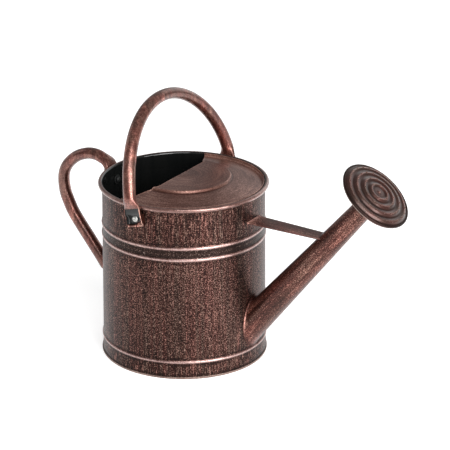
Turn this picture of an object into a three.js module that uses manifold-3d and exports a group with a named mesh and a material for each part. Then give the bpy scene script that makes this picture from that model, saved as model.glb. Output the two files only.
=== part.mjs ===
// Watering can: sheet-metal tank with a splash cover, a swinging bail, a fixed rear handle,
// a braced spout and a pull-off rose. Millimetres, +Z up, +X towards the spout.
// The pieces are modelled about the tank's axis, and the whole group is shifted at the end
// so that the origin is under the middle of the object.

import * as THREE from 'three';
import { mergeVertices } from 'three/addons/utils/BufferGeometryUtils.js';
import Module from 'manifold-3d';

const wasm = await Module();
wasm.setup();

// ---------------------------------------------------------------- driving dimensions
const SHEET = 0.7;                 // sheet thickness of the tank, spout and rose
const GAP = 0.3;                   // clearance left between neighbouring pieces
const AROUND = 48;                 // facets round the tank

const WALL_RADIUS_FOOT = 85.7;     // outside radius at the floor
const WALL_TAPER = 1.45 / 190;     // the tank narrows this much per millimetre of height
const RIM_CENTRE_Z = 184.9;        // centre of the rolled rim
const RIM_ROLL = 2.4;              // outside radius of the roll
const BEADS = [                    // pressed rings: height, half width, how far they stand out
  { z: 18.4, half: 2.5, out: 1.2 },
  { z: 130.6, half: 2.8, out: 1.0 },
  { z: 142.8, half: 2.8, out: 1.0 },
];

const BOTTOM_Z = 7.0;              // underside of the recessed bottom
const HEM_HEIGHT = 3.2;            // the bottom's hem, folded up round the wall

const COVER_EDGE_Z = 180.4;        // top of the cover's plate at the wall
const COVER_FLANGE_TOP = 187.0;    // top of the flange inside the rim
const COVER_STEP_RADIUS = 50;      // foot of the raised half disc
const COVER_STEP_Z = 189.9;
const COVER_TOP_RADIUS = 48.4;
const COVER_TOP_Z = 192.9;

const PIVOT = { x: -2, z: 172 };   // axis of the bail's rivets
const BAIL_LEAN = 13.8;            // degrees, towards the rear
const BAIL_HALF_WIDTH = 95.6;      // the bail's centreline is half an ellipse about the pivot
const BAIL_HEIGHT = 103.7;
const BAIL_BOW = 3.0;              // how far its middle heights stand forward of its plane
const BAIL_TUBE = 6.5;
const EAR_INSIDE = 85.0;           // inner face of the ears, from the tank's middle plane
const EAR_PLATE = 2.6;
const EAR_LIP = 6.4;               // ear's full depth at its raised edges
const EAR_BELOW = 8;               // ear's end below the rivet
const EAR_STEP = 3.6;              // where it steps out, above the rivet
const BAIL_EAR_WIDTH = 18.8;
const HANDLE_EAR_WIDTH = 20;

const HANDLE_TUBE = 6.6;
const UPPER_RIVET_Z = 171;
const LOWER_RIVET_Z = 51;

const SPOUT_ANGLE = 50.05;         // degrees above horizontal
const SPOUT_START = { x: 85, z: 47.1 };
const SPOUT_FOOT_RADIUS = 16.2;
const SPOUT_SLOPE = 0.0295;        // radius lost per millimetre of length
const SPOUT_LENGTH = 201.4;

const BRACE_THICKNESS = 2.0;
const BRACE_WALL_Z = 159.1;
const BRACE_SPOUT_Z = 157.6;
const BRACE_WALL_WIDTH = 23;
const BRACE_SPOUT_WIDTH = 17;

const ROSE_DISTANCE = 217.0;       // spout start to the rose's rim, along the spout
const ROSE_RADIUS = 38.9;
const ROSE_NECK = 202.4;           // where the rose's back shell begins
const SLEEVE_START = 195.9;        // the sleeve's open end, over the spout's tip
const RIDGES = [9.4, 17.2, 25.4, 33.0];   // radii of the pressed rings' crests
const RIDGE_HEIGHT = 1.0;
const DOME = 5.8;                  // how far the face bulges at its centre
const HOLE_RADIUS = 0.8;

const RIVET_SHANK = 2.0;
const RIVET_HEAD = 3.5;

// ---------------------------------------------------------------- materials
const bronze = new THREE.MeshStandardMaterial({ color: 0x5a4038, roughness: 0.42, metalness: 0.85 });
const copper = new THREE.MeshStandardMaterial({ color: 0x9c6a58, roughness: 0.35, metalness: 0.9 });
const silver = new THREE.MeshStandardMaterial({ color: 0xb4b4b0, roughness: 0.4, metalness: 1.0 });

// ---------------------------------------------------------------- helpers
const radians = (degrees) => degrees * Math.PI / 180;
const wallRadius = (z) => WALL_RADIUS_FOOT - WALL_TAPER * z;
const spoutRadius = (t) => SPOUT_FOOT_RADIUS - SPOUT_SLOPE * t;

// A closed three.js geometry as a solid: shared corners merged, collapsed triangles dropped.
function solid(geometry) {
  const bare = geometry.clone();
  bare.deleteAttribute('normal');
  bare.deleteAttribute('uv');
  const merged = mergeVertices(bare, 1e-3);
  const corners = merged.index.array;
  const triangles = [];
  for (let i = 0; i < corners.length; i += 3) {
    const [a, b, c] = [corners[i], corners[i + 1], corners[i + 2]];
    if (a !== b && b !== c && c !== a) triangles.push(a, b, c);
  }
  return new wasm.Manifold(new wasm.Mesh({
    numProp: 3,
    vertProperties: new Float32Array(merged.attributes.position.array),
    triVerts: new Uint32Array(triangles),
  }));
}

function toGeometry(piece) {
  const mesh = piece.getMesh();
  const geometry = new THREE.BufferGeometry();
  geometry.setAttribute('position', new THREE.BufferAttribute(new Float32Array(mesh.vertProperties), 3));
  geometry.setIndex(new THREE.BufferAttribute(new Uint32Array(mesh.triVerts), 1));
  geometry.computeVertexNormals();
  return geometry;
}

// Turns a profile of [radius, height] pairs about the Z axis. The outside runs upwards.
function turned(profile, around = AROUND) {
  const points = profile.map(([r, z]) => new THREE.Vector2(r, z));
  return new THREE.LatheGeometry(points, around).rotateX(Math.PI / 2);
}

// A closed ring profile: the outer line going up, then the inner line going down.
function ring(outer, inner, around = AROUND) {
  const profile = [...outer, ...inner.slice().reverse()];
  return turned([...profile, profile[0]], around);
}

function arc(centre, radius, fromDegrees, toDegrees, count) {
  const points = [];
  for (let i = 0; i <= count; i += 1) {
    const angle = radians(fromDegrees + (toDegrees - fromDegrees) * i / count);
    points.push([centre[0] + radius * Math.cos(angle), centre[1] + radius * Math.sin(angle)]);
  }
  return points;
}

function box(x, y, z) {
  const geometry = new THREE.BoxGeometry(x[1] - x[0], y[1] - y[0], z[1] - z[0]);
  return geometry.translate((x[0] + x[1]) / 2, (y[0] + y[1]) / 2, (z[0] + z[1]) / 2);
}

// Sweeps a round bar along a curve.
function bar(points, radius, steps, around = 12) {
  const path = new THREE.CatmullRomCurve3(points);
  const section = new THREE.Shape().absarc(0, 0, radius, 0, Math.PI * 2);
  return new THREE.ExtrudeGeometry(section, { steps, extrudePath: path, curveSegments: around / 2 });
}

// Places a shape whose own +Z is its axis onto the spout's axis.
function onSpout(geometry) {
  geometry.rotateY(radians(90 - SPOUT_ANGLE));
  return geometry.translate(SPOUT_START.x, 0, SPOUT_START.z);
}

const assembly = new THREE.Group();

function add(name, piece, material) {
  const mesh = new THREE.Mesh(toGeometry(piece), material);
  mesh.name = name;
  assembly.add(mesh);
}

// ---------------------------------------------------------------- tank wall
function beadLine(offset) {
  const line = [];
  for (const bead of BEADS) {
    const r = wallRadius(bead.z) + offset;
    line.push([r, bead.z - bead.half], [r + bead.out, bead.z - bead.half * 0.4]);
    line.push([r + bead.out, bead.z + bead.half * 0.4], [r, bead.z + bead.half]);
  }
  return line;
}

const wallTop = wallRadius(RIM_CENTRE_Z);
const rimCentre = [wallTop - SHEET + RIM_ROLL, RIM_CENTRE_Z];
const wallOuter = [
  [wallRadius(1.1), 1.1],
  ...beadLine(0),
  ...arc(rimCentre, RIM_ROLL - SHEET, 180, -115, 6),
];
const wallInner = [
  [wallRadius(1.1) - SHEET, 1.1],
  ...beadLine(-SHEET),
  ...arc(rimCentre, RIM_ROLL, 180, -115, 6),
];
let tankWall = solid(ring(wallOuter, wallInner));

// the water's way into the spout
const spoutBore = solid(onSpout(turned([
  [0, -45],
  [spoutRadius(0) - SHEET, -45],
  [spoutRadius(0) - SHEET, 20],
  [0, 20],
], 24)));
tankWall = tankWall.subtract(spoutBore);

// rivet holes: two for the bail, two for the rear handle
function rivetHole(radius) {
  return new THREE.CylinderGeometry(radius, radius, 30, 20);
}
for (const side of [-1, 1]) {
  tankWall = tankWall.subtract(solid(rivetHole(RIVET_SHANK + GAP).translate(PIVOT.x, side * 85, PIVOT.z)));
}
for (const z of [UPPER_RIVET_Z, LOWER_RIVET_Z]) {
  const hole = rivetHole(RIVET_SHANK + GAP).rotateZ(Math.PI / 2).translate(-85, 0, z);
  tankWall = tankWall.subtract(solid(hole));
}
add('tank_wall', tankWall, bronze);

// ---------------------------------------------------------------- bottom
const footOut = wallRadius(0) + GAP;
const footIn = wallRadius(0) - SHEET - GAP;
add('tank_bottom', solid(turned([
  [0, BOTTOM_Z],
  [footIn - SHEET - 1.2, BOTTOM_Z],
  [footIn - SHEET, BOTTOM_Z - 1.2],
  [footIn - SHEET, 0],
  [footOut + SHEET, 0],
  [footOut + SHEET, HEM_HEIGHT],
  [footOut, HEM_HEIGHT],
  [footOut, SHEET],
  [footIn, SHEET],
  [footIn, BOTTOM_Z - 0.4],
  [footIn - 1.4, BOTTOM_Z + SHEET],
  [0, BOTTOM_Z + SHEET],
])), bronze);

// ---------------------------------------------------------------- splash cover
const coverEdge = wallTop - SHEET - GAP;
const coverDisc = solid(turned([
  [0, COVER_TOP_Z - SHEET],
  [COVER_TOP_RADIUS - 0.6, COVER_TOP_Z - SHEET],
  [COVER_STEP_RADIUS - 0.4, COVER_STEP_Z - SHEET],
  [coverEdge - 1.2, COVER_EDGE_Z - SHEET],
  [coverEdge, COVER_EDGE_Z + 0.5],
  [coverEdge, COVER_FLANGE_TOP],
  [coverEdge - SHEET, COVER_FLANGE_TOP],
  [coverEdge - SHEET, COVER_EDGE_Z + 0.9],
  [coverEdge - 1.5, COVER_EDGE_Z],
  [COVER_STEP_RADIUS, COVER_STEP_Z],
  [COVER_TOP_RADIUS, COVER_TOP_Z],
  [0, COVER_TOP_Z],
]));
// the rear edge runs straight across the middle and sweeps back towards the wall
const edgeLine = [[-2.5, 44], [-8.5, 51], [-17, 68], [-25, 81]];
const coverPlan = new THREE.Shape();
coverPlan.moveTo(100, -100);
coverPlan.lineTo(100, 100);
coverPlan.lineTo(-25, 100);
for (const [x, y] of edgeLine.slice().reverse()) coverPlan.lineTo(x, y);
for (const [x, y] of edgeLine) coverPlan.lineTo(x, -y);
coverPlan.lineTo(-25, -100);
coverPlan.closePath();
const coverPrism = new THREE.ExtrudeGeometry(coverPlan, { depth: 40, bevelEnabled: false });
add('splash_cover', coverDisc.intersect(solid(coverPrism.translate(0, 0, 165))), bronze);

// ---------------------------------------------------------------- ears of the bail and rear handle
// A tube end pressed flat: a plate with raised edges. It stands on its rivet at height 0,
// its width runs along X and its inner face is at y = inside. Just above the rivet the
// plate steps out to y = clear, so that it turns freely below the rolled rim.
function ear(inside, clear, top, width) {
  const step = EAR_STEP + 1.5;
  const side = new THREE.Shape();
  side.moveTo(inside, -EAR_BELOW);
  side.lineTo(inside + EAR_LIP, -EAR_BELOW);
  side.lineTo(inside + EAR_LIP, EAR_STEP);
  side.lineTo(clear + EAR_LIP, step + 1.8);
  side.lineTo(clear + EAR_LIP + 2, top);
  side.lineTo(clear, top);
  side.lineTo(clear, step);
  side.lineTo(inside, EAR_STEP);
  side.closePath();
  const pocket = new THREE.Shape();
  pocket.moveTo(inside + EAR_PLATE, 1.6 - EAR_BELOW);
  pocket.lineTo(inside + 25, 1.6 - EAR_BELOW);
  pocket.lineTo(inside + 25, step + 2.8);
  pocket.lineTo(clear + EAR_PLATE, step + 2.8);
  pocket.lineTo(clear + EAR_PLATE, step);
  pocket.lineTo(inside + EAR_PLATE, EAR_STEP);
  pocket.closePath();
  // the shapes' x is the object's y, their y is z, and their depth is x
  const across = (shape, depth) => {
    const block = new THREE.ExtrudeGeometry(shape, { depth, bevelEnabled: false });
    return solid(block.rotateX(Math.PI / 2).rotateZ(Math.PI / 2).translate(-depth / 2, 0, 0));
  };
  const hole = rivetHole(RIVET_SHANK + 0.1).translate(0, inside, 0);
  return across(side, width).subtract(across(pocket, width - 4)).subtract(solid(hole));
}

// ---------------------------------------------------------------- bail handle
// Built upright with the rivets' axis through the origin, then leaned back.
function archPoints(firstDegrees, count) {
  const points = [];
  for (let i = 0; i <= count; i += 1) {
    const angle = radians(firstDegrees + (180 - 2 * firstDegrees) * i / count);
    const up = Math.sin(angle);
    const forward = BAIL_BOW * Math.sin(Math.PI * up ** 0.65);
    points.push(new THREE.Vector3(forward, BAIL_HALF_WIDTH * Math.cos(angle), BAIL_HEIGHT * up));
  }
  return points;
}

const rimOutside = rimCentre[0] + RIM_ROLL;
let bail = solid(bar(archPoints(12, 24), BAIL_TUBE, 28));
for (const side of [0, Math.PI]) {
  const half = toGeometry(ear(EAR_INSIDE, rimOutside + GAP + 0.3, 24, BAIL_EAR_WIDTH)).rotateZ(side);
  const vent = box([-3, 4], [91.8, 93.4], [6.5, 30]).rotateZ(side);
  bail = bail.add(solid(half)).subtract(solid(vent));
}
bail = bail.subtract(solid(bar(archPoints(15, 24), BAIL_TUBE - 1.1, 28)));
const leaned = toGeometry(bail).rotateY(radians(-BAIL_LEAN)).translate(PIVOT.x, 0, PIVOT.z);
add('bail_handle', solid(leaned), copper);

// ---------------------------------------------------------------- rivets and washers
// A pop rivet along its own +Z: head outside at z = 0 and up, tail at the far end.
function rivet(shankLength) {
  return turned([
    [0, -shankLength - 2.4],
    [2.2, -shankLength - 2.2],
    [3.3, -shankLength - 1.2],
    [3.0, -shankLength],
    [RIVET_SHANK, -shankLength],
    [RIVET_SHANK, 0],
    [RIVET_HEAD, 0],
    [RIVET_HEAD - 0.3, 0.8],
    [2.0, 1.6],
    [1.1, 1.8],
    [0.9, 1.0],
    [0, 1.0],
  ], 16);
}

function washer(thickness) {
  return ring([[5, -thickness], [5, 0]], [[RIVET_SHANK + GAP, -thickness], [RIVET_SHANK + GAP, 0]], 16);
}

const WASHER_INSET = 1.3;          // wall's outside to the washer's outer face
const WASHER_THICKNESS = 0.9;
const headFace = EAR_INSIDE + EAR_PLATE + GAP;
for (const [side, word] of [[-1, 'left'], [1, 'right']]) {
  const inner = wallRadius(PIVOT.z) - WASHER_INSET;
  const shank = headFace - inner + WASHER_THICKNESS + GAP;
  const turn = -side * Math.PI / 2;
  const pin = rivet(shank).rotateX(turn).translate(PIVOT.x, side * headFace, PIVOT.z);
  const disc = washer(WASHER_THICKNESS).rotateX(turn).translate(PIVOT.x, side * inner, PIVOT.z);
  add(`bail_rivet_${word}`, solid(pin), silver);
  add(`bail_washer_${word}`, solid(disc), silver);
}

// ---------------------------------------------------------------- rear handle
const lowerInside = wallRadius(LOWER_RIVET_Z) + 0.5;
const handlePoints = [
  [-96.3, 186.5], [-99.5, 190.6], [-104.5, 193.0], [-111, 194.1], [-119.4, 193.4], [-129.8, 189.7],
  [-137.6, 184.6], [-144.3, 178.1], [-148.8, 171.1], [-151.0, 163.8], [-151.4, 156.9],
  [-150.7, 150.2], [-149.3, 143.6], [-146.8, 137.3], [-140.6, 124.8], [-131.9, 112.8],
  [-122.4, 100.9], [-113.0, 89.2], [-103.5, 77.2], [-96.6, 67.5], [-93.5, 60.5],
].map(([x, z]) => new THREE.Vector3(x, 0, z));
const handlePath = new THREE.CatmullRomCurve3(handlePoints);
const borePoints = [];
for (let i = 0; i <= 20; i += 1) borePoints.push(handlePath.getPointAt(0.04 + 0.93 * i / 20));

let handle = solid(bar(handlePoints, HANDLE_TUBE, 28));
const upperEar = toGeometry(ear(EAR_INSIDE, rimOutside + GAP, 19, HANDLE_EAR_WIDTH));
const lowerEar = toGeometry(ear(lowerInside, lowerInside + 0.6, 14, HANDLE_EAR_WIDTH));
handle = handle.add(solid(upperEar.rotateZ(Math.PI / 2).translate(0, 0, UPPER_RIVET_Z)));
handle = handle.add(solid(lowerEar.rotateZ(Math.PI / 2).translate(0, 0, LOWER_RIVET_Z)));
handle = handle.subtract(solid(bar(borePoints, HANDLE_TUBE - 1.1, 26)));
handle = handle.subtract(solid(box([-97.3, -95.7], [-3, 3], [178, 193])));
handle = handle.subtract(solid(box([-96, -93.4], [-3, 3], [57, 72])));
add('rear_handle', handle, copper);

for (const [z, inside, word] of [[UPPER_RIVET_Z, EAR_INSIDE, 'upper'], [LOWER_RIVET_Z, lowerInside, 'lower']]) {
  const face = inside + EAR_PLATE + GAP;
  const inner = wallRadius(z) - WASHER_INSET;
  const shank = face - inner + WASHER_THICKNESS + GAP;
  const pin = rivet(shank).rotateY(-Math.PI / 2).translate(-face, 0, z);
  const disc = washer(WASHER_THICKNESS).rotateY(-Math.PI / 2).translate(-inner, 0, z);
  add(`rear_handle_rivet_${word}`, solid(pin), silver);
  add(`rear_handle_washer_${word}`, solid(disc), silver);
}

// ---------------------------------------------------------------- spout and its flange
// A plain cone that stands this far off the tank's wall, for saddle cuts.
function tankCone(offset) {
  return solid(turned([
    [0, -5],
    [wallRadius(-5) + offset, -5],
    [wallRadius(180) + offset, 180],
    [0, 180],
  ], 96));
}

const coneAlong = (offset, from, to) => [[spoutRadius(from) + offset, from], [spoutRadius(to) + offset, to]];
const tube = ring(coneAlong(0, -40, SPOUT_LENGTH), coneAlong(-SHEET, -40, SPOUT_LENGTH), 24);
add('spout_tube', solid(onSpout(tube)).subtract(tankCone(0.4)), bronze);

const flangeRing = ring(coneAlong(3.4, -30, 40), coneAlong(GAP, -30, 40), 24);
const lowBeadTop = BEADS[0].z + BEADS[0].half + GAP;
const aboveBead = solid(box([60, 130], [-40, 40], [lowBeadTop, 120]));
const flange = solid(onSpout(flangeRing)).intersect(tankCone(1.2)).subtract(tankCone(0.4)).intersect(aboveBead);
add('spout_flange', flange, copper);

// ---------------------------------------------------------------- brace
const braceEnd = 176;
const bracePlan = new THREE.Shape();
bracePlan.moveTo(78, -BRACE_WALL_WIDTH / 2);
bracePlan.lineTo(braceEnd, -BRACE_SPOUT_WIDTH / 2 + 0.6);
bracePlan.lineTo(braceEnd, BRACE_SPOUT_WIDTH / 2 - 0.6);
bracePlan.lineTo(78, BRACE_WALL_WIDTH / 2);
bracePlan.closePath();
const braceSlope = Math.atan2(BRACE_WALL_Z - BRACE_SPOUT_Z, 77);
const braceBar = new THREE.ExtrudeGeometry(bracePlan, { depth: BRACE_THICKNESS, bevelEnabled: false });
braceBar.translate(-85, 0, -BRACE_THICKNESS / 2).rotateY(braceSlope).translate(85, 0, BRACE_WALL_Z);
const spoutCore = turned([
  [0, -20],
  [spoutRadius(-20) + 0.4, -20],
  [spoutRadius(SPOUT_LENGTH) + 0.4, SPOUT_LENGTH],
  [0, SPOUT_LENGTH],
], 24);
const beyondSpout = solid(box([166, 200], [-20, 20], [140, 170]));
let brace = solid(braceBar).subtract(tankCone(0.4));
brace = brace.subtract(solid(onSpout(spoutCore))).subtract(beyondSpout);
add('spout_brace', brace, bronze);

// ---------------------------------------------------------------- rose
// The perforated face: a domed disc with pressed rings, a crimped rim and holes on the
// crests, along the spout's axis.
const faceZ = ROSE_DISTANCE - 0.6;
const dome = (r) => faceZ + DOME * (1 - (r / 38) ** 2);
const faceLine = [[0, dome(0)]];
for (const crest of RIDGES) {
  faceLine.push([crest - 3.2, dome(crest - 3.2)], [crest, dome(crest) + RIDGE_HEIGHT]);
}
faceLine.push([36.4, dome(36.4)]);
const rimLine = [
  [ROSE_RADIUS - 1.0, faceZ - 0.4],
  [ROSE_RADIUS - SHEET, faceZ - 1.8],
  [ROSE_RADIUS, faceZ - 1.8],
  [ROSE_RADIUS, faceZ],
  [ROSE_RADIUS - 0.8, faceZ + 0.6],
];
const faceLow = faceLine.map(([r, z]) => [r, z - SHEET]);
let face = solid(onSpout(turned([...faceLow, ...rimLine, ...faceLine.slice().reverse()], 36)));
RIDGES.forEach((crest, row) => {
  const count = 6 * (row + 1);
  for (let i = 0; i < count; i += 1) {
    const hole = new THREE.CylinderGeometry(HOLE_RADIUS, HOLE_RADIUS, 6, 5).rotateX(Math.PI / 2);
    const angle = 2 * Math.PI * (i + 0.5 * (row % 2)) / count;
    hole.translate(crest * Math.cos(angle), crest * Math.sin(angle), dome(crest));
    face = face.subtract(solid(onSpout(hole)));
  }
});
add('rose_face', face, copper);

const sleeveOuter = 11.5;
const shellMouth = ROSE_RADIUS - SHEET - GAP;
const shellInner = [
  [sleeveOuter + GAP, ROSE_NECK],
  [15.5, ROSE_NECK + 2.2],
  [shellMouth - 1.2, faceZ - 3.0],
  [shellMouth - SHEET, faceZ - 2.2],
  [shellMouth - SHEET, faceZ - 1.2],
].map(([r, t]) => [r, t + SHEET]);
const shellOuter = [
  [sleeveOuter + GAP, ROSE_NECK],
  [15.9, ROSE_NECK + 1.7],
  [shellMouth - 0.8, faceZ - 3.2],
  [shellMouth, faceZ - 2.4],
  [shellMouth, faceZ - 0.5],
];
add('rose_shell', solid(onSpout(ring(shellOuter, shellInner, 36))), bronze);

const sleeve = ring(
  [[sleeveOuter, SLEEVE_START], [sleeveOuter, ROSE_NECK + 1.6], [14.2, ROSE_NECK + 3.4]],
  [[sleeveOuter - 0.8, SLEEVE_START], [sleeveOuter - 0.8, ROSE_NECK + 2.0], [13.8, ROSE_NECK + 4.0]],
  24,
);
add('rose_sleeve', solid(onSpout(sleeve)), bronze);

// ---------------------------------------------------------------- origin
// The frame's origin is under the middle of the footprint, from the rear handle to the rose.
const rearmost = -151.4 - HANDLE_TUBE;
const spoutWay = radians(SPOUT_ANGLE);
const foremost = SPOUT_START.x + ROSE_DISTANCE * Math.cos(spoutWay) + ROSE_RADIUS * Math.sin(spoutWay);
assembly.position.x = -(rearmost + foremost) / 2;

export default assembly;
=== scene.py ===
"""Watering can in antiqued copper-brown sheet metal: the detailed pieces, materials and scene."""
from math import copysign, cos, degrees, exp, hypot, pi, radians, sin, sqrt, tan

import bmesh
import bpy
from mathutils import Matrix, Vector


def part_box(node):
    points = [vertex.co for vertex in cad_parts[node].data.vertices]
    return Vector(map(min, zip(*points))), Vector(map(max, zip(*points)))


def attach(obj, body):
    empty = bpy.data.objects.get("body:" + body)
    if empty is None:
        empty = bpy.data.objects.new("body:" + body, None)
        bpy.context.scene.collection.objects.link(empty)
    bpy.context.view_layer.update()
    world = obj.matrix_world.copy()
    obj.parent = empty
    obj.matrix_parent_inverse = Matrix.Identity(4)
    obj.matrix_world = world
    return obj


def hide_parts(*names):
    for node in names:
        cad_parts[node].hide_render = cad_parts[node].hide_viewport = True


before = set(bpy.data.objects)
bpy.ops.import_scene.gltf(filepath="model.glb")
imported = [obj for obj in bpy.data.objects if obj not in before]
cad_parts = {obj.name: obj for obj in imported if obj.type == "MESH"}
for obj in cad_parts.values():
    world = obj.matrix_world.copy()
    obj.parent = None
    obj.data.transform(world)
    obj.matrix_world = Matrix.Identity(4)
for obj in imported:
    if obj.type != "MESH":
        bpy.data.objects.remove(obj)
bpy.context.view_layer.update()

# ------------------------ dimensions, in millimetres
# All of them are about the tank's axis, with +X towards the spout and +Z up.
SHEET = 0.7
GAP = 0.3                   # between neighbouring pieces
WALL_RADIUS_FOOT = 85.7
WALL_TAPER = 1.45 / 190
RIM_CENTRE_Z = 184.9
RIM_ROLL = 2.4
BEADS = [(18.4, 2.6, 1.15), (130.6, 2.9, 0.95), (142.8, 2.9, 0.95)]   # height, half width, stand-out
FOOT_SWELL = 0.5
TANK_AROUND = 192           # facets round the tank, its bottom and its cover

PIVOT_X = -2.0
PIVOT_Z = 172.0
BAIL_LEAN = radians(13.8)
BAIL_HALF_WIDTH = 95.6      # the bail is half an ellipse about its pivot
BAIL_HEIGHT = 103.7
BAIL_BOW = 3.0
BAIL_TUBE = 6.5
EAR_INSIDE = 85.0
EAR_STEP = 3.6
EAR_BELOW = 8.0

HANDLE_TUBE = 6.6
UPPER_RIVET_Z = 171.0
LOWER_RIVET_Z = 51.0

SPOUT_ANGLE = radians(50.05)
SPOUT_START = (85.0, 47.1)
SPOUT_FOOT_RADIUS = 16.2
SPOUT_SLOPE = 0.0295
SPOUT_LENGTH = 201.4

ROSE_DISTANCE = 217.0       # along the spout's axis, to the rim of the face
ROSE_RADIUS = 38.9
ROSE_NECK = 202.4           # along the spout's axis, to the narrow end of the back shell
ROSE_AROUND = 144           # facets round the face and its back shell
RIDGES = [9.4, 17.2, 25.4, 33.0]
DOME = 5.8                  # how far the face bulges
HOLE = 0.6

# the tank's axis stands where the frame put the tank
wall_low, wall_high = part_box("tank_wall")
AXIS_X = (wall_low[0] + wall_high[0]) / 2


def wall_radius(z):
    """Outside radius of the plain wall at this height."""
    return WALL_RADIUS_FOOT - WALL_TAPER * z


def spout_radius(t):
    """Outside radius of the spout at this distance along its axis."""
    return SPOUT_FOOT_RADIUS - SPOUT_SLOPE * t


def smooth(edge0, edge1, value):
    """0 at edge0, 1 at edge1, eased in between; the edges may be in either order."""
    t = (value - edge0) / (edge1 - edge0)
    t = min(1.0, max(0.0, t))
    return t * t * (3 - 2 * t)


def mix(a, b, t):
    return a + (b - a) * t


def hump(value, centre, width):
    """1 at the centre, falling away on both sides."""
    return exp(-((value - centre) / width) ** 2)


def place(x, y, z):
    """Tank millimetres to scene metres."""
    return Vector((AXIS_X + x / 1000, y / 1000, z / 1000))


SPOUT_WAY = Vector((cos(SPOUT_ANGLE), 0, sin(SPOUT_ANGLE)))
SPOUT_UP = Vector((-sin(SPOUT_ANGLE), 0, cos(SPOUT_ANGLE)))
SPOUT_FOOT = Vector((SPOUT_START[0], 0, SPOUT_START[1]))


def on_spout(x, y, t):
    """A point beside the spout's axis, t along it: x is across and downwards, y is level."""
    return place(*(SPOUT_FOOT + SPOUT_WAY * t - SPOUT_UP * x + Vector((0, y, 0))))


def ring_point(r, angle, t):
    """A point round the spout's axis."""
    return on_spout(r * cos(angle), r * sin(angle), t)


# ------------------------ mesh helpers
def new_object(name, shape, materials, body, nodes, wear_and_painted_light=None, face_slots=None, sharp=38):
    """A mesh piece on its body; wear holds a number per vertex, face_slots a material index per face."""
    verts, faces = shape
    mesh = bpy.data.meshes.new(name)
    mesh.from_pydata([tuple(v) for v in verts], [], faces)
    for material in materials:
        mesh.materials.append(material)
    if face_slots:
        for polygon, index in zip(mesh.polygons, face_slots):
            polygon.material_index = index
    attribute = mesh.attributes.new("wear_and_painted_light", "FLOAT", "POINT")
    for i, value in enumerate(wear_and_painted_light or [0.0] * len(verts)):
        attribute.data[i].value = value
    mesh.update()
    bm = bmesh.new()
    bm.from_mesh(mesh)
    bmesh.ops.remove_doubles(bm, verts=bm.verts, dist=1e-7)
    bmesh.ops.recalc_face_normals(bm, faces=bm.faces)
    bm.to_mesh(mesh)
    bm.free()
    mesh.shade_smooth()
    mesh.set_sharp_from_angle(angle=radians(sharp))
    piece = bpy.data.objects.new(name, mesh)
    bpy.context.scene.collection.objects.link(piece)
    if body:
        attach(piece, body)
        if nodes:
            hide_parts(*nodes)
    return piece


def revolve(profile, angles, where, bump=None, closed=True):
    """A (radius, height) profile turned through the angles, which run once round."""
    verts = []
    for angle in angles:
        for r, z in profile:
            extra = bump(angle, r, z) if bump else 0.0
            verts.append(where((r + extra) * cos(angle), (r + extra) * sin(angle), z))
    count = len(profile)
    faces = []
    for i in range(len(angles)):
        j = (i + 1) % len(angles)
        for k in range(count if closed else count - 1):
            n = (k + 1) % count
            faces.append((i * count + k, j * count + k, j * count + n, i * count + n))
    return verts, faces


def disc(profile, around, where):
    """A profile that starts and ends on the axis, turned into a closed solid."""
    verts, faces = revolve(profile[1:-1], turns(around), where, closed=False)
    count = len(profile) - 2
    first, last = len(verts), len(verts) + 1
    for i in range(around):
        j = (i + 1) % around
        faces.append((first, j * count, i * count))
        faces.append((last, (i + 1) * count - 1, (j + 1) * count - 1))
    verts += [where(0, 0, profile[0][1]), where(0, 0, profile[-1][1])]
    return verts, faces


def disc_slots(around, bands, first, last):
    """Material indices of a disc's faces: its bands, and the fans at its two ends."""
    return bands * around + [first, last] * around


def loft(loops, ends=True):
    """Joins loops of equally many points by quads, and closes the two ends if asked."""
    count = len(loops[0])
    verts = [v for loop in loops for v in loop]
    faces = []
    for i in range(len(loops) - 1):
        for k in range(count):
            n = (k + 1) % count
            faces.append((i * count + k, i * count + n, (i + 1) * count + n, (i + 1) * count + k))
    if ends:
        faces.append(tuple(range(count)))
        faces.append(tuple(reversed(range((len(loops) - 1) * count, len(loops) * count))))
    return verts, faces


def turns(count):
    """Equal angles, once round."""
    return [2 * pi * i / count for i in range(count)]


def arc(centre, radius, start, end, steps):
    """Points on a circle, from one angle to the other in degrees."""
    points = []
    for i in range(steps + 1):
        angle = radians(mix(start, end, i / steps))
        points.append((centre[0] + radius * cos(angle), centre[1] + radius * sin(angle)))
    return points


def boolean(piece, cutters, operation="DIFFERENCE"):
    """Cuts the piece with the cutter objects, which are then removed."""
    for tool in cutters:
        modifier = piece.modifiers.new("cut", "BOOLEAN")
        modifier.operation = operation
        modifier.solver = "EXACT"
        modifier.object = tool
    bpy.context.view_layer.update()
    graph = bpy.context.evaluated_depsgraph_get()
    mesh = bpy.data.meshes.new_from_object(piece.evaluated_get(graph))
    piece.modifiers.clear()
    old = piece.data
    piece.data = mesh
    bpy.data.meshes.remove(old)
    mesh.name = piece.name
    for tool in cutters:
        bpy.data.objects.remove(tool)
    mesh.shade_smooth()
    mesh.set_sharp_from_angle(angle=radians(32))


def cutter(name, shape):
    """A bare solid for boolean()."""
    return new_object(name, shape, [], None, None)


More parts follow.
